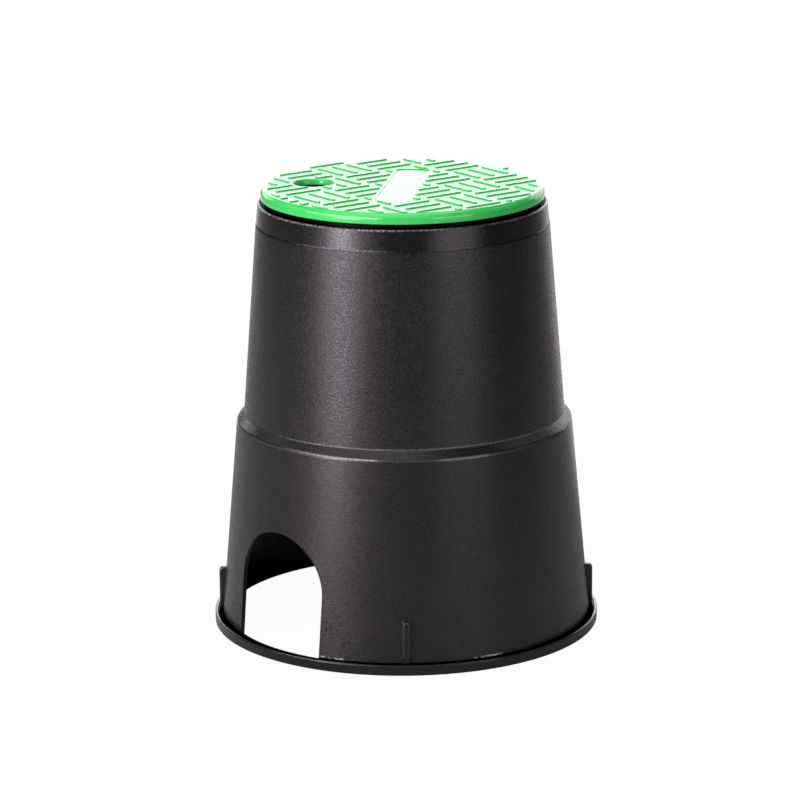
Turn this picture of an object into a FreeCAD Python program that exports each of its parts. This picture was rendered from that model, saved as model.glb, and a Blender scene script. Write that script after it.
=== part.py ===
import FreeCAD, Part
import math
import os
import re
import Sketcher

# Round in-ground valve box: a tapered, open-bottomed body with two arched pipe
# openings, and a lift-off lid with a basket-weave tread and a finger hole.
# The origin is the middle of the base ring on the ground, +Z is up, and the pipe
# run passes through the box along X. All sizes are in millimetres and degrees.

SIZES = [
    # Body moulding
    ("flange_radius", 104, "outside of the base ring"),
    ("ring_wall", 1.6, "thickness of the base ring"),
    ("ring_height", 5.3, "base ring, from the ground to the top of its lip"),
    ("web_top", 3.8, "top of the flat web between wall and ring"),
    ("web_thickness", 2.2, "thickness of that web"),
    ("web_width", 4.3, "web, from the foot of the wall out to the outside of the ring"),
    ("wall", 2.4, "wall of the body, measured across"),
    ("lower_taper", 9.6, "how far the wall draws in between web and step"),
    ("step_depth", 3.95, "how far the step draws the wall in"),
    ("step_rise", 4.6, "height of the step itself"),
    ("step_high_height", 116.4, "top of the step above the ground"),
    ("shoulder_height", 230.2, "flat shoulder round the neck"),
    ("shoulder_width", 4.05, "shoulder, from the neck out to the collar"),
    ("collar_height", 11.6, "collar, from its foot up to the shoulder"),
    ("collar_taper", 1.2, "how far the collar's top lies in from the wall under it"),
    ("collar_inset", 0.25, "ledge where the collar starts, inside the wall below it"),
    ("neck_radius", 72.9, "outside of the neck that carries the lid"),
    ("neck_wall", 2.4, "wall of the neck"),
    ("neck_height", 5.0, "neck, from the shoulder to its rim"),
    ("step_round", 3.0, "rounding of the step's outer edge"),
    ("foot_bevel", 0.8, "bevel in the corner between wall and web"),
    ("shoulder_bevel", 0.7, "bevel on the shoulder's outer edge"),
    ("lip_bevel", 0.4, "bevel on the base ring's upper edges"),
    # Pipe openings
    ("opening_width", 60, "clear width of a pipe opening"),
    ("opening_top", 66.5, "crown of a pipe opening above the ground"),
    # Gussets between wall and base ring
    ("gusset_count", 4, "gussets round the foot"),
    ("gusset_thickness", 3.9, "thickness of a gusset"),
    ("gusset_inset", 2.5, "gusset's upright edge, in from the outside of the ring"),
    ("gusset_top", 28, "top of a gusset above the ground"),
    ("gusset_corner", 2.4, "rounding of a gusset's top corner"),
    ("gusset_bevel", 0.6, "bevel along a gusset's edges"),
    # Lid shell
    ("lid_plate", 3.0, "thickness of the lid's plate"),
    ("lid_rim_depth", 2.5, "how far the rim hangs below the plate"),
    ("lid_rim_clearance", 0.4, "gap between the rim and the neck"),
    ("lid_rim_wall", 2.0, "thickness of the rim"),
    ("lid_round", 3.4, "rounding of the lid's upper edge"),
    ("plug_clearance", 0.6, "gap between the plug ring and the neck's bore"),
    ("plug_wall", 2.0, "thickness of the plug ring"),
    ("plug_depth", 6.0, "how far the plug ring reaches into the neck"),
    ("spoke_count", 8, "stiffening ribs under the plate"),
    ("spoke_thickness", 1.8, "thickness of a stiffening rib"),
    ("spoke_depth", 4.5, "depth of a stiffening rib"),
    ("hub_radius", 6.0, "boss where the ribs meet"),
    ("lid_turn", -53.4, "how far the lid lies turned on the neck, in degrees"),
    # Finger hole
    ("hole_radius", 10.5, "finger hole"),
    ("hole_inset", 27.3, "middle of the finger hole, in from the lid's edge"),
    ("hole_collar", 2.0, "thickness of the collar round the finger hole"),
    ("hole_collar_depth", 0.6, "how far that collar hangs under the plate"),
    ("hole_bevel", 0.8, "bevel on the finger hole's upper edge"),
    # Tread on the lid
    ("tread_offset", 1.8, "how far the tread's middle lies off the lid's middle"),
    ("tread_margin", 3.5, "plain border between the tread and the lid's edge"),
    ("block_pitch", 26.28, "spacing of the blocks of bars"),
    ("bar_spacing", 9.5, "spacing of the bars in a block"),
    ("bar_length", 22.0, "length of a bar"),
    ("bar_width", 2.2, "width of a bar"),
    ("bar_nose", 0.6, "bevel on the corners of a bar's ends"),
    ("bar_height", 0.6, "height of a bar above the plate"),
    ("bar_root", 0.6, "depth to which a bar is rooted in the plate"),
    ("hole_margin", 2.6, "plain margin round the finger hole"),
    ("panel_width", 18, "width of the sunk panel"),
    ("panel_length", 87, "length of the sunk panel"),
    ("panel_depth", 0.5, "depth of the sunk panel"),
    ("panel_corner", 3.5, "corner radius of the sunk panel"),
    ("panel_margin", 1.6, "plain margin round the sunk panel"),
]

# Radii and heights that follow from the sizes.
FOOT_RADIUS = "(flange_radius - web_width)"
STEP_LOW_RADIUS = f"({FOOT_RADIUS} - lower_taper)"
STEP_HIGH_RADIUS = f"({STEP_LOW_RADIUS} - step_depth)"
STEP_LOW_HEIGHT = "(step_high_height - step_rise)"
COLLAR_TOP_RADIUS = "(neck_radius + shoulder_width)"
COLLAR_FOOT_RADIUS = f"({COLLAR_TOP_RADIUS} + collar_taper)"
COLLAR_FOOT_HEIGHT = "(shoulder_height - collar_height)"
GUSSET_RADIUS = "(flange_radius - gusset_inset)"
PLUG_RADIUS = "(neck_radius - neck_wall - plug_clearance)"
LID_RADIUS = "(neck_radius + lid_rim_clearance + lid_rim_wall)"
TREAD_RADIUS = f"({LID_RADIUS} - tread_margin)"
HOLE_DISTANCE = f"({LID_RADIUS} - hole_inset)"
HOLE_DEPTH = "(lid_plate + hole_collar_depth)"

# A block of the tread holds a middle bar and one on each side of it.
BARS_IN_BLOCK = (-1, 0, 1)
# What is left of a bar after trimming stays only above this share of a whole bar.
SMALLEST_BAR = 0.1

document = FreeCAD.newDocument("valve_box")
sheet = document.addObject("Spreadsheet::Sheet", "Sizes")
for row, (name, number, meaning) in enumerate(SIZES, start=1):
    sheet.set(f"A{row}", name)
    sheet.set(f"B{row}", str(number))
    sheet.set(f"C{row}", meaning)
    sheet.setAlias(f"B{row}", name)
document.recompute()


def formula(text):
    """Turn a formula on size names into an expression on the sheet's cells."""
    return re.sub(r"[a-z]+(_[a-z]+)*", lambda word: in_sheet(word.group()), text)


def in_sheet(word):
    return f"Sizes.{word}" if word in NAMES else word


NAMES = {name for name, number, meaning in SIZES}


def size(text):
    """The number that a formula on size names gives."""
    return float(sheet.evalExpression(formula(text)))


def origin_plane(body, role):
    return next(item for item in body.Origin.OriginFeatures if item.Role == role)


def new_sketch(body, name, role):
    sketch = body.newObject("Sketcher::SketchObject", name)
    sketch.AttachmentSupport = [(origin_plane(body, role), "")]
    sketch.MapMode = "FlatFace"
    return sketch


def fix_point(sketch, geometry, point, across, up):
    """Hold a point of the sketch at two formulas, measured from the origin."""
    for kind, text, axis in (("DistanceX", across, -2), ("DistanceY", up, -1)):
        if text == "0":
            sketch.addConstraint(Sketcher.Constraint("PointOnObject", geometry, point, axis))
            continue
        number = size(text)
        index = sketch.addConstraint(Sketcher.Constraint(kind, -1, 1, geometry, point, number))
        sketch.setExpression(f"Constraints[{index}]", formula(text))


def straight_outline(sketch, corners):
    """Close an outline of straight runs through corners given as pairs of formulas."""
    points = [FreeCAD.Vector(size(across), size(up), 0) for across, up in corners]
    count = len(points)
    for index in range(count):
        sketch.addGeometry(Part.LineSegment(points[index], points[(index + 1) % count]), False)
    for index in range(count):
        following = (index + 1) % count
        sketch.addConstraint(Sketcher.Constraint("Coincident", index, 2, following, 1))
    for index, (across, up) in enumerate(corners):
        fix_point(sketch, index, 1, across, up)


def circle_outline(sketch, across, up, radius):
    centre = FreeCAD.Vector(size(across), size(up), 0)
    index = sketch.addGeometry(Part.Circle(centre, FreeCAD.Vector(0, 0, 1), size(radius)), False)
    fix_point(sketch, index, 3, across, up)
    fixed = sketch.addConstraint(Sketcher.Constraint("Radius", index, size(radius)))
    sketch.setExpression(f"Constraints[{fixed}]", formula(radius))


def arch_outline(sketch, width, foot, crown):
    """Upright sides with a half-round top, standing on a level line."""
    half = size(width) / 2
    spring = size(crown) - half
    low = size(foot)
    right_foot, right_top = FreeCAD.Vector(half, low, 0), FreeCAD.Vector(half, spring, 0)
    left_foot, left_top = FreeCAD.Vector(-half, low, 0), FreeCAD.Vector(-half, spring, 0)
    circle = Part.Circle(FreeCAD.Vector(0, spring, 0), FreeCAD.Vector(0, 0, 1), half)
    sketch.addGeometry(Part.LineSegment(right_foot, right_top), False)
    sketch.addGeometry(Part.ArcOfCircle(circle, 0, math.pi), False)
    sketch.addGeometry(Part.LineSegment(left_top, left_foot), False)
    sketch.addGeometry(Part.LineSegment(left_foot, right_foot), False)
    sketch.addConstraint([
        Sketcher.Constraint("Tangent", 0, 2, 1, 1),
        Sketcher.Constraint("Tangent", 1, 2, 2, 1),
        Sketcher.Constraint("Coincident", 2, 2, 3, 1),
        Sketcher.Constraint("Coincident", 3, 2, 0, 1),
        Sketcher.Constraint("Vertical", 0),
        Sketcher.Constraint("Vertical", 2),
        Sketcher.Constraint("Horizontal", 3),
    ])
    fix_point(sketch, 0, 1, f"{width} / 2", foot)
    fix_point(sketch, 1, 3, "0", f"{crown} - {width} / 2")


def revolve(body, name, sketch):
    turned = body.newObject("PartDesign::Revolution", name)
    turned.Profile = sketch
    turned.ReferenceAxis = (sketch, ["V_Axis"])
    turned.Angle = 360
    document.recompute()
    return turned


def pad(body, name, sketch, depth, downward=False, centred=False):
    block = body.newObject("PartDesign::Pad", name)
    block.Profile = sketch
    block.setExpression("Length", formula(depth))
    block.Reversed = downward
    if centred:
        block.SideType = "Symmetric"
    document.recompute()
    return block


def pocket(body, name, sketch, depth, upward=False, centred=False):
    """Cut the sketch's outline into the body, and make sure that it did cut."""
    before = body.Shape.Volume
    cut = body.newObject("PartDesign::Pocket", name)
    cut.Profile = sketch
    cut.setExpression("Length", formula(depth))
    cut.Reversed = upward
    if centred:
        cut.SideType = "Symmetric"
    document.recompute()
    if body.Shape.Volume >= before:
        raise RuntimeError(f"{name} cuts nothing")
    return cut


def ring_pattern(body, name, feature, count):
    """Repeat a feature in equal steps round the upright axis."""
    pattern = body.newObject("PartDesign::PolarPattern", name)
    pattern.Originals = [feature]
    upright = next(item for item in body.Origin.OriginFeatures if item.Role == "Z_Axis")
    pattern.Axis = (upright, [""])
    pattern.Angle = 360
    pattern.setExpression("Occurrences", formula(count))
    body.Tip = pattern
    document.recompute()
    return pattern


def round_edges(body, name, wanted, radius):
    """Round the edges of the body's last feature that the test picks out."""
    base = body.Tip
    names = [f"Edge{index}" for index, edge in enumerate(base.Shape.Edges, start=1) if wanted(edge)]
    if not names:
        raise RuntimeError(f"{name} finds no edge")
    rounding = body.newObject("PartDesign::Fillet", name)
    rounding.Base = (base, names)
    rounding.setExpression("Radius", formula(radius))
    document.recompute()
    return rounding


def bevel_edges(body, name, wanted, width):
    """Bevel the edges of the body's last feature that the test picks out."""
    base = body.Tip
    names = [f"Edge{index}" for index, edge in enumerate(base.Shape.Edges, start=1) if wanted(edge)]
    if not names:
        raise RuntimeError(f"{name} finds no edge")
    bevel = body.newObject("PartDesign::Chamfer", name)
    bevel.Base = (base, names)
    bevel.setExpression("Size", formula(width))
    document.recompute()
    return bevel


def near(first, second):
    return abs(first - second) < 1e-4


def circle_at(radius, height):
    """Test for a round edge about the upright axis, of this radius and height."""
    def wanted(edge):
        curve = edge.Curve
        if not isinstance(curve, Part.Circle):
            return False
        return near(curve.Radius, size(radius)) and near(curve.Center.z, size(height))
    return wanted


def wall_radius(height):
    """Formula for the outside of the lower wall at a height."""
    rise = f"(({height}) - web_top) / ({STEP_LOW_HEIGHT} - web_top)"
    return f"{FOOT_RADIUS} - lower_taper * {rise}"


# The body: wall, neck and web turned as one section


def make_body():
    body = document.addObject("PartDesign::Body", "BoxBody")
    body.Label = "box_body"
    section = new_sketch(body, "WallSection", "XZ_Plane")
    bevel_top = "web_top + foot_bevel"
    straight_outline(section, [
        (f"{FOOT_RADIUS} - wall", "web_top - web_thickness"),
        ("flange_radius - ring_wall / 2", "web_top - web_thickness"),
        ("flange_radius - ring_wall / 2", "web_top"),
        (f"{FOOT_RADIUS} + foot_bevel", "web_top"),
        (wall_radius(bevel_top), bevel_top),
        (STEP_LOW_RADIUS, STEP_LOW_HEIGHT),
        (STEP_HIGH_RADIUS, "step_high_height"),
        (COLLAR_FOOT_RADIUS, COLLAR_FOOT_HEIGHT),
        (f"{COLLAR_FOOT_RADIUS} - collar_inset", f"{COLLAR_FOOT_HEIGHT} + 3 * collar_inset"),
        (COLLAR_TOP_RADIUS, "shoulder_height"),
        ("neck_radius", "shoulder_height"),
        ("neck_radius", "shoulder_height + neck_height"),
        ("neck_radius - neck_wall", "shoulder_height + neck_height"),
        ("neck_radius - neck_wall", "shoulder_height - wall"),
        (f"{COLLAR_TOP_RADIUS} - wall", "shoulder_height - wall"),
        (f"{COLLAR_FOOT_RADIUS} - wall", COLLAR_FOOT_HEIGHT),
        (f"{STEP_HIGH_RADIUS} - wall", "step_high_height - wall / 2"),
        (f"{STEP_LOW_RADIUS} - wall", f"{STEP_LOW_HEIGHT} - wall / 2"),
    ])
    revolve(body, "Wall", section)
    step_edge = circle_at(STEP_LOW_RADIUS, STEP_LOW_HEIGHT)
    round_edges(body, "StepRound", step_edge, "step_round")
    shoulder_edge = circle_at(COLLAR_TOP_RADIUS, "shoulder_height")
    bevel_edges(body, "ShoulderBevel", shoulder_edge, "shoulder_bevel")
    cut_openings(body)
    add_ring(body)
    add_gussets(body)
    return body


def cut_openings(body):
    """One arched cut along X opens both ends of the pipe run, down to the web."""
    arch = new_sketch(body, "OpeningArch", "YZ_Plane")
    arch_outline(arch, "opening_width", "web_top", "opening_top")
    pocket(body, "PipeOpenings", arch, "2 * flange_radius", centred=True)


def add_ring(body):
    """The base ring runs unbroken past the openings, below and above the web."""
    section = new_sketch(body, "RingSection", "XZ_Plane")
    straight_outline(section, [
        ("flange_radius - ring_wall", "0"),
        ("flange_radius", "0"),
        ("flange_radius", "ring_height - lip_bevel"),
        ("flange_radius - lip_bevel", "ring_height"),
        ("flange_radius - ring_wall + lip_bevel", "ring_height"),
        ("flange_radius - ring_wall", "ring_height - lip_bevel"),
    ])
    revolve(body, "BaseRing", section)


def add_gussets(body):
    """Upright gussets stand on the web midway between the openings."""
    outline = new_sketch(body, "GussetOutline", "XZ_Plane")
    outline.AttachmentOffset = FreeCAD.Placement(
        FreeCAD.Vector(), FreeCAD.Rotation(FreeCAD.Vector(0, 1, 0), 0)
    )
    outline.setExpression("AttachmentOffset.Rotation.Angle", formula("180 deg / gusset_count"))
    root = "web_top - web_thickness / 2"
    straight_outline(outline, [
        (f"{wall_radius(root)} - wall / 2", root),
        (GUSSET_RADIUS, root),
        (GUSSET_RADIUS, "gusset_top"),
        (f"{wall_radius('gusset_top')} - wall / 2", "gusset_top"),
    ])
    gusset = pad(body, "Gusset", outline, "gusset_thickness", centred=True)
    ring_pattern(body, "Gussets", gusset, "gusset_count")
    round_edges(body, "GussetCorners", gusset_corner, "gusset_corner")
    bevel_edges(body, "GussetEdges", gusset_upright, "gusset_bevel")


def radius_of(point):
    return (point.x ** 2 + point.y ** 2) ** 0.5


def gusset_corner(edge):
    """Test for the level edge across the top outer corner of a gusset."""
    middle = edge.CenterOfMass
    level = near(middle.z, size("gusset_top"))
    across = near(edge.Length, size("gusset_thickness"))
    return level and across and near(radius_of(middle), size(GUSSET_RADIUS))


def gusset_upright(edge):
    """Test for the two upright outer edges of a gusset."""
    if not isinstance(edge.Curve, Part.Line):
        return False
    ends = [vertex.Point for vertex in edge.Vertexes]
    plumb = near(ends[0].x, ends[1].x) and near(ends[0].y, ends[1].y)
    corner = (size(GUSSET_RADIUS) ** 2 + size("gusset_thickness") ** 2 / 4) ** 0.5
    return plumb and near(radius_of(ends[0]), corner)


# The lid: shell, finger hole, sunk panel and tread


def make_lid_shell():
    """The lid without its tread, with its plate's underside at height 0."""
    body = document.addObject("PartDesign::Body", "LidShell")
    section = new_sketch(body, "LidSection", "XZ_Plane")
    straight_outline(section, [
        ("0", "0"),
        (f"{PLUG_RADIUS} - plug_wall", "0"),
        (f"{PLUG_RADIUS} - plug_wall", "-plug_depth"),
        (PLUG_RADIUS, "-plug_depth"),
        (PLUG_RADIUS, "0"),
        (f"{LID_RADIUS} - lid_rim_wall", "0"),
        (f"{LID_RADIUS} - lid_rim_wall", "-lid_rim_depth"),
        (LID_RADIUS, "-lid_rim_depth"),
        (LID_RADIUS, "lid_plate"),
        ("0", "lid_plate"),
    ])
    revolve(body, "LidPlate", section)
    add_spokes(body)
    cut_finger_hole(body)
    sink_panel(body)
    round_edges(body, "LidRound", circle_at(LID_RADIUS, "lid_plate"), "lid_round")
    bevel_edges(body, "HoleBevel", hole_edge, "hole_bevel")
    return body


def add_spokes(body):
    """Stiffening ribs run from a middle boss to the plug ring, clear of the hole."""
    outline = new_sketch(body, "SpokeOutline", "XY_Plane")
    outline.AttachmentOffset = FreeCAD.Placement(
        FreeCAD.Vector(), FreeCAD.Rotation(FreeCAD.Vector(0, 0, 1), 0)
    )
    outline.setExpression("AttachmentOffset.Rotation.Angle", formula("180 deg / spoke_count"))
    reach = f"{PLUG_RADIUS} - plug_wall / 2"
    straight_outline(outline, [
        ("hub_radius / 2", "-(spoke_thickness / 2)"),
        (reach, "-(spoke_thickness / 2)"),
        (reach, "spoke_thickness / 2"),
        ("hub_radius / 2", "spoke_thickness / 2"),
    ])
    hub = new_sketch(body, "HubOutline", "XY_Plane")
    circle_outline(hub, "0", "0", "hub_radius")
    pad(body, "Hub", hub, "spoke_depth", downward=True)
    spoke = pad(body, "Spoke", outline, "spoke_depth", downward=True)
    ring_pattern(body, "Spokes", spoke, "spoke_count")


def cut_finger_hole(body):
    """A through hole with a short collar that deepens its wall under the plate."""
    collar = new_sketch(body, "HoleCollarOutline", "XY_Plane")
    circle_outline(collar, f"-{HOLE_DISTANCE}", "tread_offset", "hole_radius + hole_collar")
    pad(body, "HoleCollar", collar, "hole_collar_depth", downward=True)
    hole = new_sketch(body, "HoleOutline", "XY_Plane")
    circle_outline(hole, f"-{HOLE_DISTANCE}", "tread_offset", "hole_radius")
    pocket(body, "FingerHole", hole, f"2 * {HOLE_DEPTH}", centred=True)


def hole_edge(edge):
    """Test for the upper edge of the finger hole."""
    curve = edge.Curve
    if not isinstance(curve, Part.Circle):
        return False
    return near(curve.Radius, size("hole_radius")) and near(curve.Center.z, size("lid_plate"))


def sink_panel(body):
    """A shallow plain panel, long across the lid, with rounded corners."""
    panel = new_sketch(body, "PanelOutline", "XY_Plane")
    panel.AttachmentOffset = FreeCAD.Placement(FreeCAD.Vector(0, 0, 1), FreeCAD.Rotation())
    panel.setExpression("AttachmentOffset.Base.z", formula("lid_plate"))
    straight_outline(panel, [
        ("-(panel_width / 2)", "tread_offset - panel_length / 2"),
        ("panel_width / 2", "tread_offset - panel_length / 2"),
        ("panel_width / 2", "tread_offset + panel_length / 2"),
        ("-(panel_width / 2)", "tread_offset + panel_length / 2"),
    ])
    pocket(body, "Panel", panel, "panel_depth")
    round_edges(body, "PanelCorners", panel_corner, "panel_corner")


def panel_corner(edge):
    """Test for the four short upright edges in the corners of the panel."""
    middle = edge.CenterOfMass
    upright = near(edge.Length, size("panel_depth")) and isinstance(edge.Curve, Part.Line)
    return upright and near(abs(middle.x), size("panel_width / 2"))


def bar_prism():
    """A bar with bevelled ends along X, middle at the origin, rooted in the plate."""
    half_length = size("bar_length") / 2
    half_width = size("bar_width") / 2
    nose = size("bar_nose")
    low = size("lid_plate - bar_root")
    quarter = [(half_length, half_width - nose), (half_length - nose, half_width)]
    corners = []
    for x_side, y_side in ((1, 1), (-1, 1), (-1, -1), (1, -1)):
        side = [FreeCAD.Vector(x_side * x, y_side * y, low) for x, y in quarter]
        corners += side if x_side * y_side > 0 else side[::-1]
    outline = Part.makePolygon(corners + corners[:1])
    return Part.Face(outline).extrude(FreeCAD.Vector(0, 0, size("bar_root + bar_height")))


def tread_field():
    """The space that bars may fill: a disc less the margins of panel and hole."""
    low = size("lid_plate - bar_root")
    high = size("bar_root + bar_height")
    offset = size("tread_offset")
    across = size("panel_width + 2 * panel_margin")
    along = size("panel_length + 2 * panel_margin")
    disc = Part.makeCylinder(size(TREAD_RADIUS), high, FreeCAD.Vector(0, 0, low))
    panel_start = FreeCAD.Vector(-across / 2, offset - along / 2, low)
    panel = Part.makeBox(across, along, high, panel_start)
    hole_middle = FreeCAD.Vector(-size(HOLE_DISTANCE), offset, low)
    hole = Part.makeCylinder(size("hole_radius + hole_margin"), high, hole_middle)
    return disc.cut([panel, hole])


def make_tread():
    """Blocks of three bars in a square lattice at 45 degrees, every other one turned."""
    bar = bar_prism()
    field = tread_field()
    pitch = size("block_pitch")
    reach = int(size(TREAD_RADIUS) / pitch) + 1
    steps = range(-reach, reach + 1)
    smallest = SMALLEST_BAR * bar.Volume
    bars = []
    for along, across in ((a, b) for a in steps for b in steps):
        turn = 45 if (along + across) % 2 else -45
        lattice = FreeCAD.Rotation(FreeCAD.Vector(0, 0, 1), 45)
        block = lattice.multVec(FreeCAD.Vector(along * pitch, across * pitch, 0))
        block.y += size("tread_offset")
        turned = FreeCAD.Rotation(FreeCAD.Vector(0, 0, 1), turn)
        for place in BARS_IN_BLOCK:
            shift = turned.multVec(FreeCAD.Vector(0, place * size("bar_spacing"), 0))
            placed = bar.copy()
            placed.Placement = FreeCAD.Placement(block + shift, turned)
            bars += [solid for solid in placed.common(field).Solids if solid.Volume > smallest]
    tread = document.addObject("Part::Feature", "Tread")
    tread.Shape = Part.makeCompound(bars)
    return tread


def make_lid():
    lid = document.addObject("Part::MultiFuse", "Lid")
    lid.Label = "lid"
    lid.Shapes = [make_lid_shell(), make_tread()]
    lid.Refine = True
    lid.Placement = FreeCAD.Placement(
        FreeCAD.Vector(0, 0, 1), FreeCAD.Rotation(FreeCAD.Vector(0, 0, 1), 1)
    )
    lid.setExpression("Placement.Base.z", formula("shoulder_height + neck_height"))
    lid.setExpression("Placement.Rotation.Angle", formula("lid_turn * 1 deg"))
    return lid


def main():
    nodes = [make_body(), make_lid()]
    document.recompute()
    for item in document.Objects:
        if "Invalid" in item.State or "Error" in item.State:
            raise RuntimeError(f"{item.Label} did not build: {item.State}")
    os.makedirs("parts", exist_ok=True)
    for node in nodes:
        if node.Shape.isNull() or not node.Shape.isValid():
            raise RuntimeError(f"{node.Label} has no valid shape")
        node.Shape.exportStep(f"parts/{node.Label}.step")
        box = node.Shape.BoundBox
        print(node.Label, len(node.Shape.Solids), round(node.Shape.Volume), box)


main()
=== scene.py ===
import math

import bpy
from mathutils import Euler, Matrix

# Round in-ground valve box: a black tapered body moulding under a green lid.
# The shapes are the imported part's own. This file gives them their finishes, and adds
# the studio that they stand in. Lengths are in metres unless a name says otherwise.

bl_info = {
    "name": "Valve Box Finishes",
    "version": (1, 0, 0),
    "blender": (4, 5, 0),
    "location": "3D View > Sidebar > Valve Box",
    "description": "Moulded finishes and a studio for a round irrigation valve box",
    "category": "Object",
}

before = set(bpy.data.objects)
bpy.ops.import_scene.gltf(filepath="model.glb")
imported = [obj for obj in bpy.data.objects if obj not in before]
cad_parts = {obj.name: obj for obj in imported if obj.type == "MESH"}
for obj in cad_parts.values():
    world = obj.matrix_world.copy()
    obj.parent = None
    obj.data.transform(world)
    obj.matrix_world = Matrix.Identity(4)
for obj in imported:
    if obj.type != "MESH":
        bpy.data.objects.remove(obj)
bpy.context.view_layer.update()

# Heights on the body, from the ground up: the low and high end of each band or rise
CHANNEL = (0.0030, 0.0052)
SCUFFS = (0.0055, 0.0061)
GUSSET_FOOT = (0.008, 0.010)
GUSSET_TOP = (0.030, 0.032)
WEAR_START = (0.03, 0.05)
STEP_OUTER_CORNER = (0.1110, 0.1118)
STEP_INNER_CORNER = (0.1162, 0.1167)
UPPER_WALL_START = (0.1162, 0.1168)
LEDGE = (0.2183, 0.2189)
COLLAR = (0.2192, 0.2305)
COLLAR_TOP = (0.2293, 0.2299)
NECK = (0.22995, 0.2354)

# Radii on the body. PROUD, where the gussets and the ring stand clear of the wall, is
# taken along the wall's taper down to the top of the web.
WEB_TOP = 0.0038
TAPER = 0.0889
PROUD = (0.1001, 0.1006)
CHANNEL_INSIDE = (0.0985, 0.0990)
CHANNEL_OUTSIDE = (0.1020, 0.1023)
NECK_OUTSIDE = (0.0760, 0.0763)

# Directions from the body's axis: to its two scuffs, and to the sides where the painted
# highlights on the step's inner corner and the collar's top are strongest
LEFT_SCUFF = (-0.9205, -0.39)
RIGHT_SCUFF = (-0.332, -0.943)
INNER_HIGHLIGHT_SIDE = (0.0872, -0.9962)
COLLAR_HIGHLIGHT_SIDE = (-0.985, -0.174)

# The lid: its finger hole, its sunk panel and the heights and radii of its parts
HOLE_CENTRE = (-0.027174, 0.039608)
HOLE_WALL = (0.0107, 0.0111)
HOLE_ROUNDING = (0.2354, 0.2374)
HOLLOW = (0.044, 0.048)
HOLLOW_TOP = (0.2348, 0.2354)
HOLLOW_OUTSIDE = (0.0700, 0.0705)
PANEL_HALF_WIDTH = (0.0089, 0.0091)
PANEL_FLOOR = (0.2376, 0.2379)
PANEL_EDGE = (0.0088, 0.0092)
PANEL_EDGE_HEIGHT = (0.2376, 0.2383)
PANEL_EDGE_END = (0.0440, 0.0445)
RIM = (0.0712, 0.0722)

# Noise patterns: scale per metre, detail and roughness
BODY_MOTTLE = (60.0, 4.0, 0.6)
BODY_CLOUD = (14.0, 3.0, 0.55)
BODY_WEAR = (800.0, 1.0, 0.6)
SCUFF_BREAKS = (300.0, 3.0, 0.7)
LID_CLOUD = (22.0, 3.0, 0.55)
LID_GRAIN = (900.0, 2.0, 0.6)
LID_PEEL = (160.0, 2.0, 0.5)

# Roundings that the bevel shader gives the edges, and the depth of the lid's uneven skin
BODY_EDGE_RADIUS = 0.0007
LID_EDGE_RADIUS = 0.00035
LID_PEEL_DEPTH = 0.00003

# Colours that aren't settings
SHADE_BLACK = (0.0, 0.0, 0.0, 1.0)
WHITE = (1.0, 1.0, 1.0, 1.0)
RUBBED_BLACK = (0.11, 0.105, 0.108, 1.0)
CORNER_HIGHLIGHT_GREY = (0.085, 0.08, 0.083, 1.0)
COLLAR_HIGHLIGHT_GREY = (0.15, 0.142, 0.147, 1.0)
SCUFF_GREY = (0.3, 0.29, 0.28, 1.0)
PLASTIC_SHEEN = (1.0, 0.91, 1.0, 1.0)
PALE_GREEN = (0.55, 0.85, 0.6, 1.0)
FLOOR_GREY = (0.4, 0.384, 0.378, 1.0)
WARM_WHITE = (1.0, 0.94, 0.91, 1.0)

# Lamps: name, the setting that drives it and its share of that, width, height, azimuth
# and elevation in degrees as seen from the box's middle, and distance
LAMPS = (
    ("key", "key_strength", 1.0, 0.42, 0.66, -92.0, 5.0, 1.65),
    ("key_top", "top_key_strength", 1.0, 2.0, 0.24, -97.0, 27.0, 1.7),
    ("key_spread", "spread_strength", 1.0, 1.0, 1.02, -92.0, 14.0, 1.75),
    ("key_wide", "spread_strength", 0.45, 1.8, 1.02, -92.0, 14.0, 1.8),
    ("fill", "fill_strength", 1.0, 1.0, 0.9, -5.0, 14.0, 1.7),
    ("rim_right", "rim_strength", 1.4, 1.1, 0.9, 105.0, 14.0, 1.7),
    ("rim_left", "rim_strength", 1.4, 0.8, 0.6, -195.0, 16.0, 1.7),
    ("back", "back_strength", 1.0, 1.1, 1.1, 135.0, 18.0, 1.8),
    ("high", "high_strength", 1.0, 2.2, 1.0, -75.0, 56.0, 1.7),
    ("left_high", "high_strength", 0.55, 0.8, 0.5, -158.0, 37.0, 1.7),
    ("right_high", "high_strength", 0.45, 0.9, 0.6, 60.0, 40.0, 1.7),
    ("top", "top_strength", 1.0, 1.2, 1.2, 135.0, 80.0, 1.6),
)
LAMP_AIM_HEIGHT = 0.115


# Shader maths


class Signal:
    """An output of a shader tree. Arithmetic on it adds Math nodes to that tree."""

    def __init__(self, tree, socket):
        self.tree = tree
        self.socket = socket

    def calculate(self, operation, *values):
        return self.tree.add("ShaderNodeMath", {"operation": operation}, dict(enumerate(values)))

    def __add__(self, other):
        return self.calculate("ADD", self, other)

    def __radd__(self, other):
        return self.calculate("ADD", other, self)

    def __sub__(self, other):
        return self.calculate("SUBTRACT", self, other)

    def __rsub__(self, other):
        return self.calculate("SUBTRACT", other, self)

    def __mul__(self, other):
        return self.calculate("MULTIPLY", self, other)

    def __rmul__(self, other):
        return self.calculate("MULTIPLY", other, self)

    def __truediv__(self, other):
        return self.calculate("DIVIDE", self, other)

    def __abs__(self):
        return self.calculate("ABSOLUTE", self)

    def root(self):
        return self.calculate("SQRT", self)

    def rise(self, start, end):
        """0 below start, 1 above end, and a smooth rise from one to the other."""
        settings = {"interpolation_type": "SMOOTHSTEP"}
        sockets = {"Value": self, "From Min": start, "From Max": end}
        return self.tree.add("ShaderNodeMapRange", settings, sockets)

    def band(self, low, high, soft):
        """1 between low and high, fading to 0 over a soft width outside them."""
        return self.rise(low - soft, low) * (1 - self.rise(high, high + soft))


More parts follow.
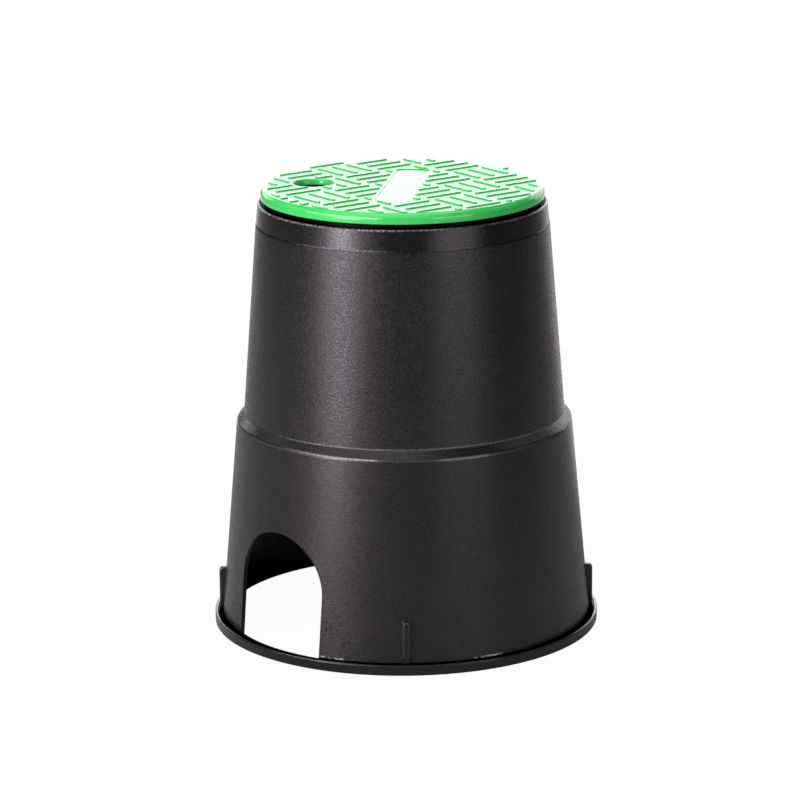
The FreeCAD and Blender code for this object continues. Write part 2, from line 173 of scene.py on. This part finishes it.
class ShaderTree:
    """The node tree of a material, world or lamp, emptied and built anew."""

    def __init__(self, owner):
        owner.use_nodes = True
        self.tree = owner.node_tree
        self.tree.nodes.clear()

    def add(self, kind, settings=None, sockets=None, output=0):
        """Add a node of a kind, set its settings, then give its sockets values or links."""
        node = self.tree.nodes.new(kind)
        for name, value in (settings or {}).items():
            setattr(node, name, value)
        for name, value in (sockets or {}).items():
            if isinstance(value, Signal):
                self.tree.links.new(value.socket, node.inputs[name])
            else:
                node.inputs[name].default_value = value
        return Signal(self, node.outputs[output]) if node.outputs else None

    def split(self, vector):
        """The three parts of a vector or colour."""
        first = self.add("ShaderNodeSeparateXYZ", {}, {0: vector})
        return [Signal(self, socket) for socket in first.socket.node.outputs]

    def place(self):
        """The point on the surface, in metres in the part's own frame."""
        return self.add("ShaderNodeTexCoord", output="Object")

    def noise(self, at, scale, detail, roughness):
        sockets = {"Vector": at, "Scale": scale, "Detail": detail, "Roughness": roughness}
        return self.add("ShaderNodeTexNoise", {}, sockets)

    def blend(self, share, first, second):
        """A colour that goes from the first to the second as share goes from 0 to 1."""
        node = {"data_type": "RGBA"}
        return self.add("ShaderNodeMix", node, {0: share, 6: first, 7: second}, output=2)

    def bump(self, height, distance, normal):
        sockets = {"Height": height, "Distance": distance, "Strength": 1.0, "Normal": normal}
        return self.add("ShaderNodeBump", {}, sockets)

    def eased_edges(self, radius):
        """A normal that rounds every sharp edge by a small radius, as a mould does."""
        return self.add("ShaderNodeBevel", {"samples": 6}, {"Radius": radius})

    def edge(self, eased):
        """1 where the eased normal leaves the face's own, so along the sharp edges."""
        own = self.add("ShaderNodeNewGeometry", output="Normal")
        dot = {"operation": "DOT_PRODUCT"}
        alike = self.add("ShaderNodeVectorMath", dot, {0: own, 1: eased}, output="Value")
        return (1 - alike).rise(0.002, 0.03)


def with_alpha(colour):
    return (*colour, 1.0)


def towards(x, y, radius, direction):
    """1 on the side of a direction from the axis, 0 square to it and -1 opposite."""
    return (direction[0] * x + direction[1] * y) / radius


def black_moulding(finish):
    """Near-black polyolefin with a pitted grain, coarsest on the upper wall. Its corners are
    rubbed.
    Painted highlight lines lie along the step's corners, the collar's top and the gussets'
    edges, and painted shade darkens the channel at the foot, the neck under the lid and the
    collar's ledge."""
    material = bpy.data.materials.new("black_moulding")
    tree = ShaderTree(material)
    at = tree.place()
    x, y, height = tree.split(at)
    radius = (x * x + y * y).root()
    collar = height.band(*COLLAR, 0.0004)
    mottle = tree.noise(at, *BODY_MOTTLE)
    cloud = tree.noise(at, *BODY_CLOUD)
    worn = tree.noise(at, *BODY_WEAR)
    eased = tree.eased_edges(BODY_EDGE_RADIUS)

    # Moulded grain: pits that differ in depth across each cell and in gloss between cells
    cells = {"Vector": at, "Scale": finish.grain_density}
    pits = tree.add("ShaderNodeTexVoronoi", {}, cells)
    speckle = tree.split(tree.add("ShaderNodeTexVoronoi", {}, cells, output="Color"))[0]
    coarse = 0.65 + 0.35 * height.rise(*UPPER_WALL_START) - 0.2 * collar

    # Painted highlight lines along the step's two corners and the collar's top, broken by the
    # wear noise; the inner one and the collar's fade away on one side
    outer_highlight = height.band(*STEP_OUTER_CORNER, 0.0003)
    inner_highlight = height.band(*STEP_INNER_CORNER, 0.0003) * worn.rise(0.28, 0.55)
    inner_highlight = inner_highlight * towards(x, y, radius, INNER_HIGHLIGHT_SIDE).rise(-0.25, 0.15)
    # Painted highlight on the collar's top edge, stronger on one side
    collar_highlight = height.band(*COLLAR_TOP, 0.0002) * worn.rise(0.4, 0.6)
    collar_lit_side = towards(x, y, radius, COLLAR_HIGHLIGHT_SIDE).rise(0.80, 0.91)
    collar_highlight = collar_highlight * (0.3 + 0.7 * collar_lit_side)
    corner = tree.edge(eased)
    rubbed = corner * worn.rise(0.45, 0.6) * height.rise(*WEAR_START)

    # The foot: glossier ring and gussets, painted highlight lines on the gussets' edges, two
    # scuffs on the wall
    radius_at_web = radius + TAPER * (height - WEB_TOP)
    proud = radius_at_web.rise(*PROUD) * (1 - height.rise(*GUSSET_TOP))
    # Painted highlight along the gussets' edges
    gusset_highlight = corner * proud * height.rise(*GUSSET_FOOT)
    left_scuff = towards(x, y, radius, LEFT_SCUFF).rise(0.994, 0.998)
    right_scuff = towards(x, y, radius, RIGHT_SCUFF).rise(0.995, 0.999)
    scuff = height.band(*SCUFFS, 0.0003) * (1 - proud) * (left_scuff + right_scuff)
    scuff = scuff * tree.noise(at, *SCUFF_BREAKS).rise(0.42, 0.55)

    # Painted shade where little light gets in: the neck, the channel at the foot and the
    # collar's ledge go to black, with a black diffuse surface mixed in
    neck = height.band(*NECK, 0.0002) * (1 - radius.rise(*NECK_OUTSIDE))
    channel = height.band(*CHANNEL, 0.0003) * (1 - radius.rise(*CHANNEL_OUTSIDE))
    channel = channel * radius.rise(*CHANNEL_INSIDE)
    painted_shade = 0.86 * neck + channel + 0.3 * height.band(*LEDGE, 0.0002)

    dark = with_alpha([0.72 * part for part in finish.body_colour])
    plain = with_alpha(finish.body_colour)
    # Painted highlights: the step's corner lines and the gussets' edge lines are blended lighter
    # here
    corners = 0.4 * outer_highlight + 0.85 * inner_highlight + 0.5 * gusset_highlight
    colour = tree.blend(mottle.rise(0.35, 0.7), dark, plain)
    colour = tree.blend(0.3 * rubbed, colour, RUBBED_BLACK)
    colour = tree.blend(corners, colour, CORNER_HIGHLIGHT_GREY)
    colour = tree.blend(collar_highlight, colour, COLLAR_HIGHLIGHT_GREY)
    colour = tree.blend(scuff, colour, SCUFF_GREY)
    colour = tree.blend(painted_shade, colour, SHADE_BLACK)

    rough = finish.body_roughness + 0.08 * (cloud - 0.5) + 0.25 * coarse * (speckle - 0.5)
    rough = rough - finish.collar_gloss * collar - 0.06 * rubbed
    rough = rough - 0.16 * outer_highlight - 0.15 * proud
    relief = pits * coarse * (1 - 0.6 * outer_highlight - 0.6 * proud)
    plastic = tree.add("ShaderNodeBsdfPrincipled", {}, {
        "Base Color": colour, "Roughness": rough,
        "Normal": tree.bump(relief, finish.grain_depth, eased),
        "Specular Tint": PLASTIC_SHEEN,
    })
    # A black diffuse surface that stands in for shade wherever the painted shade mask is set
    black = tree.add("ShaderNodeBsdfDiffuse", {}, {"Color": SHADE_BLACK})
    surface = tree.add("ShaderNodeMixShader", {}, {0: painted_shade, 1: plastic, 2: black})
    tree.add("ShaderNodeOutputMaterial", {}, {"Surface": surface})
    return material


def green_moulding(finish):
    """Saturated green polyolefin, glossier on the rolled rim and in the finger hole, with
    pale edges along the panel and painted shade, near black, in the pocket under the hole."""
    material = bpy.data.materials.new("green_moulding")
    tree = ShaderTree(material)
    at = tree.place()
    x, y, height = tree.split(at)
    radius = (x * x + y * y).root()
    turn = math.radians(finish.lid_turn)
    across = abs(math.cos(turn) * x + math.sin(turn) * y)
    panel = (1 - across.rise(*PANEL_HALF_WIDTH)) * height.band(*PANEL_FLOOR, 0.0001)
    panel_edge = across.band(*PANEL_EDGE, 0.0002) * (1 - radius.rise(*PANEL_EDGE_END))
    panel_edge = panel_edge * height.band(*PANEL_EDGE_HEIGHT, 0.0001)
    rim = radius.rise(*RIM)
    hole_x, hole_y = x - HOLE_CENTRE[0], y - HOLE_CENTRE[1]
    from_hole = (hole_x * hole_x + hole_y * hole_y).root()
    hole = 1 - from_hole.rise(*HOLE_WALL)
    hollow_shade = (1 - from_hole.rise(*HOLLOW)) * (1 - height.rise(*HOLLOW_TOP))
    hollow_shade = hollow_shade * (1 - radius.rise(*HOLLOW_OUTSIDE))
    cloud = tree.noise(at, *LID_CLOUD)
    grain = tree.noise(at, *LID_GRAIN)
    peel = tree.noise(at, *LID_PEEL)

    deep = with_alpha([0.86 * part for part in finish.lid_colour])
    plain = with_alpha(finish.lid_colour)
    colour = tree.blend(cloud.rise(0.35, 0.65), deep, plain)
    colour = tree.blend(0.7 * panel_edge, colour, PALE_GREEN)
    # Painted shade: near black in the pocket under the finger hole
    colour = tree.blend(0.9 * hollow_shade, colour, SHADE_BLACK)

    rough = finish.lid_roughness + 0.06 * (cloud - 0.5) + 0.05 * (grain - 0.5)
    rough = rough - finish.panel_gloss * panel - finish.rim_gloss * rim - 0.17 * hole
    relief = peel + 0.3 * grain - 9 * hole * height.rise(*HOLE_ROUNDING)
    plastic = tree.add("ShaderNodeBsdfPrincipled", {}, {
        "Base Color": colour, "Roughness": rough,
        "Normal": tree.bump(relief, LID_PEEL_DEPTH, tree.eased_edges(LID_EDGE_RADIUS)),
    })
    tree.add("ShaderNodeOutputMaterial", {}, {"Surface": plastic})
    return material


def dress(node, material):
    """Give a node of the part one finish all over."""
    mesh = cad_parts[node].data
    mesh.materials.clear()
    mesh.materials.append(material)


# Sizes and colours that a user would change


class FinishSettings(bpy.types.PropertyGroup):
    body_colour: bpy.props.FloatVectorProperty(
        name="Body colour", description="Colour of the black moulding",
        default=(0.0065, 0.0057, 0.0062), min=0.0, max=1.0, subtype="COLOR")
    body_roughness: bpy.props.FloatProperty(
        name="Body roughness", description="Roughness of the black moulding",
        default=0.3, min=0.0, max=1.0, subtype="FACTOR")
    collar_gloss: bpy.props.FloatProperty(
        name="Collar gloss", description="How much smoother the collar is than the wall",
        default=0.12, min=0.0, max=0.4, subtype="FACTOR")
    grain_density: bpy.props.FloatProperty(
        name="Grain density", description="Pits of the moulded grain per metre",
        default=1450.0, min=100.0, max=4000.0)
    grain_depth: bpy.props.FloatProperty(
        name="Grain depth", description="Depth of the moulded grain",
        default=0.000065, min=0.0, max=0.001, unit="LENGTH", precision=6)
    lid_colour: bpy.props.FloatVectorProperty(
        name="Lid colour", description="Colour of the green moulding",
        default=(0.045, 0.55, 0.11), min=0.0, max=1.0, subtype="COLOR")
    lid_roughness: bpy.props.FloatProperty(
        name="Lid roughness", description="Roughness of the green moulding",
        default=0.25, min=0.0, max=1.0, subtype="FACTOR")
    panel_gloss: bpy.props.FloatProperty(
        name="Panel gloss", description="How much smoother the sunk panel is",
        default=0.02, min=0.0, max=0.3, subtype="FACTOR")
    rim_gloss: bpy.props.FloatProperty(
        name="Rim gloss", description="How much smoother the rolled rim is",
        default=0.11, min=0.0, max=0.2, subtype="FACTOR")
    lid_turn: bpy.props.FloatProperty(
        name="Lid turn", description="How far the lid lies turned on the neck, in degrees",
        default=-53.4, min=-180.0, max=180.0)


class StageSettings(bpy.types.PropertyGroup):
    camera_place: bpy.props.FloatVectorProperty(
        name="Camera place", description="Where the camera stands",
        default=(-1.313757, -1.313757, 0.608846), unit="LENGTH")
    camera_turn: bpy.props.FloatVectorProperty(
        name="Camera turn", description="The camera's turn about X, Y and Z, in degrees",
        default=(75.2745, 0.5205, -45.0658))
    lens: bpy.props.FloatProperty(
        name="Lens", description="Focal length of the camera in millimetres",
        default=160.7, min=10.0, max=400.0)
    floor_size: bpy.props.FloatProperty(
        name="Floor size", description="Side of the square floor",
        default=3.2, min=1.0, unit="LENGTH")
    key_strength: bpy.props.FloatProperty(
        name="Key light", description="Radiance of the narrow soft box left of the camera",
        default=9.0, min=0.0)
    spread_strength: bpy.props.FloatProperty(
        name="Key spread", description="Radiance of the wide screen round the key light",
        default=2.2, min=0.0)
    top_key_strength: bpy.props.FloatProperty(
        name="Key's top light", description="Radiance of the flat soft box over the key light",
        default=13.0, min=0.0)
    fill_strength: bpy.props.FloatProperty(
        name="Fill light", description="Radiance of the soft box right of the camera",
        default=2.3, min=0.0)
    rim_strength: bpy.props.FloatProperty(
        name="Rim light", description="Radiance of the soft boxes behind at both sides",
        default=1.2, min=0.0)
    back_strength: bpy.props.FloatProperty(
        name="Back light", description="Radiance of the lit backdrop behind the box",
        default=3.0, min=0.0)
    high_strength: bpy.props.FloatProperty(
        name="High light", description="Radiance of the wide soft box high at the left",
        default=1.1, min=0.0)
    top_strength: bpy.props.FloatProperty(
        name="Top light", description="Radiance of the overhead soft box",
        default=2.5, min=0.0)
    room_strength: bpy.props.FloatProperty(
        name="Room light", description="Brightness of the room all round",
        default=0.05, min=0.0)


# Stage


def soft_box(name, radiance, width, height, azimuth, elevation, distance):
    """A rectangular lamp that faces the box's middle. Azimuth 0 is in front, along -Y."""
    lamp = bpy.data.lights.new(name, "AREA")
    lamp.shape = "RECTANGLE"
    lamp.size = width
    lamp.size_y = height
    lamp.energy = radiance * width * height * math.pi
    holder = bpy.data.objects.new(name, lamp)
    turn, tilt = math.radians(azimuth), math.radians(elevation)
    holder.location = (
        distance * math.sin(turn) * math.cos(tilt),
        -distance * math.cos(turn) * math.cos(tilt),
        LAMP_AIM_HEIGHT + distance * math.sin(tilt),
    )
    holder.rotation_euler = Euler((math.pi / 2 - tilt, 0.0, turn))
    holder.visible_camera = False
    bpy.context.scene.collection.objects.link(holder)


def floor_finish():
    """White for the camera, with a trace of the shadow round the box. Behind the box it is
    nearly white in reflections too, as a lit backdrop is. Plain pale for all other rays."""
    material = bpy.data.materials.new("pale_floor")
    tree = ShaderTree(material)
    x, y, height = tree.split(tree.place())
    back = (x + y) * math.sqrt(0.5)
    aside = abs((x - y) * math.sqrt(0.5) - 0.15 * back)
    lit = back.rise(0.02, 0.4) * (1 - (aside / (back + 0.02)).rise(0.35, 0.75))
    pale = tree.add("ShaderNodeBsdfDiffuse", {}, {"Color": FLOOR_GREY})
    seen = tree.add("ShaderNodeLightPath", output="Is Camera Ray")
    tint = tree.blend(seen, WARM_WHITE, WHITE)
    white = tree.add("ShaderNodeEmission", {}, {"Color": tint, "Strength": 1.0})
    mirrored = tree.add("ShaderNodeLightPath", output="Is Glossy Ray")
    near = 1 - (x * x + y * y).root().rise(0.5, 1.2)
    share = (1 - 0.03 * near) * seen + 0.97 * mirrored * lit
    surface = tree.add("ShaderNodeMixShader", {}, {0: share, 1: pale, 2: white})
    tree.add("ShaderNodeOutputMaterial", {}, {"Surface": surface})
    return material


def room(stage):
    """White behind the box for the camera, a dimmer even room for the light."""
    world = bpy.data.worlds.new("room")
    bpy.context.scene.world = world
    tree = ShaderTree(world)
    seen = tree.add("ShaderNodeLightPath", output="Is Camera Ray")
    strength = stage.room_strength + (1.0 - stage.room_strength) * seen
    light = tree.add("ShaderNodeBackground", {}, {"Color": WHITE, "Strength": strength})
    tree.add("ShaderNodeOutputWorld", {}, {"Surface": light})


def camera(stage):
    lens = bpy.data.cameras.new("camera")
    lens.lens = stage.lens
    lens.sensor_width = 36.0
    lens.clip_end = 100.0
    holder = bpy.data.objects.new("camera", lens)
    holder.location = stage.camera_place
    holder.rotation_euler = Euler([math.radians(angle) for angle in stage.camera_turn])
    bpy.context.scene.collection.objects.link(holder)
    bpy.context.scene.camera = holder


class VALVEBOX_OT_body(bpy.types.Operator):
    """Give the body its black moulded finish"""

    bl_idname = "valvebox.body"
    bl_label = "Finish Body"

    def execute(self, context):
        dress("box_body", black_moulding(context.scene.valve_box_finish))
        return {"FINISHED"}


class VALVEBOX_OT_lid(bpy.types.Operator):
    """Give the lid its green moulded finish"""

    bl_idname = "valvebox.lid"
    bl_label = "Finish Lid"

    def execute(self, context):
        dress("lid", green_moulding(context.scene.valve_box_finish))
        return {"FINISHED"}


class VALVEBOX_OT_stage(bpy.types.Operator):
    """Set up the floor, the lamps, the room and the camera"""

    bl_idname = "valvebox.stage"
    bl_label = "Set Up Stage"

    def execute(self, context):
        stage = context.scene.valve_box_stage
        context.scene.view_settings.view_transform = "Standard"
        half = stage.floor_size / 2
        mesh = bpy.data.meshes.new("floor")
        corners = [(-half, -half, 0), (half, -half, 0), (half, half, 0), (-half, half, 0)]
        mesh.from_pydata(corners, [], [(0, 1, 2, 3)])
        mesh.materials.append(floor_finish())
        floor = bpy.data.objects.new("floor", mesh)
        context.scene.collection.objects.link(floor)
        for name, setting, share, *place in LAMPS:
            soft_box(name, share * getattr(stage, setting), *place)
        room(stage)
        camera(stage)
        return {"FINISHED"}


class VALVEBOX_PT_sidebar(bpy.types.Panel):
    """Lists the steps that dress the valve box"""

    bl_idname = "VALVEBOX_PT_sidebar"
    bl_label = "Valve Box"
    bl_space_type = "VIEW_3D"
    bl_region_type = "UI"
    bl_category = "Valve Box"

    def draw(self, context):
        layout = self.layout
        for settings in (context.scene.valve_box_finish, context.scene.valve_box_stage):
            for name in settings.__annotations__:
                layout.prop(settings, name)
        for operator in OPERATORS:
            layout.operator(operator.bl_idname)


OPERATORS = (VALVEBOX_OT_body, VALVEBOX_OT_lid, VALVEBOX_OT_stage)
CLASSES = (FinishSettings, StageSettings, *OPERATORS, VALVEBOX_PT_sidebar)


def register():
    for item in CLASSES:
        bpy.utils.register_class(item)
    bpy.types.Scene.valve_box_finish = bpy.props.PointerProperty(type=FinishSettings)
    bpy.types.Scene.valve_box_stage = bpy.props.PointerProperty(type=StageSettings)


def unregister():
    del bpy.types.Scene.valve_box_stage
    del bpy.types.Scene.valve_box_finish
    for item in reversed(CLASSES):
        bpy.utils.unregister_class(item)


def main():
    register()
    bpy.ops.valvebox.body()
    bpy.ops.valvebox.lid()
    bpy.ops.valvebox.stage()


if __name__ == "__main__":
    main()
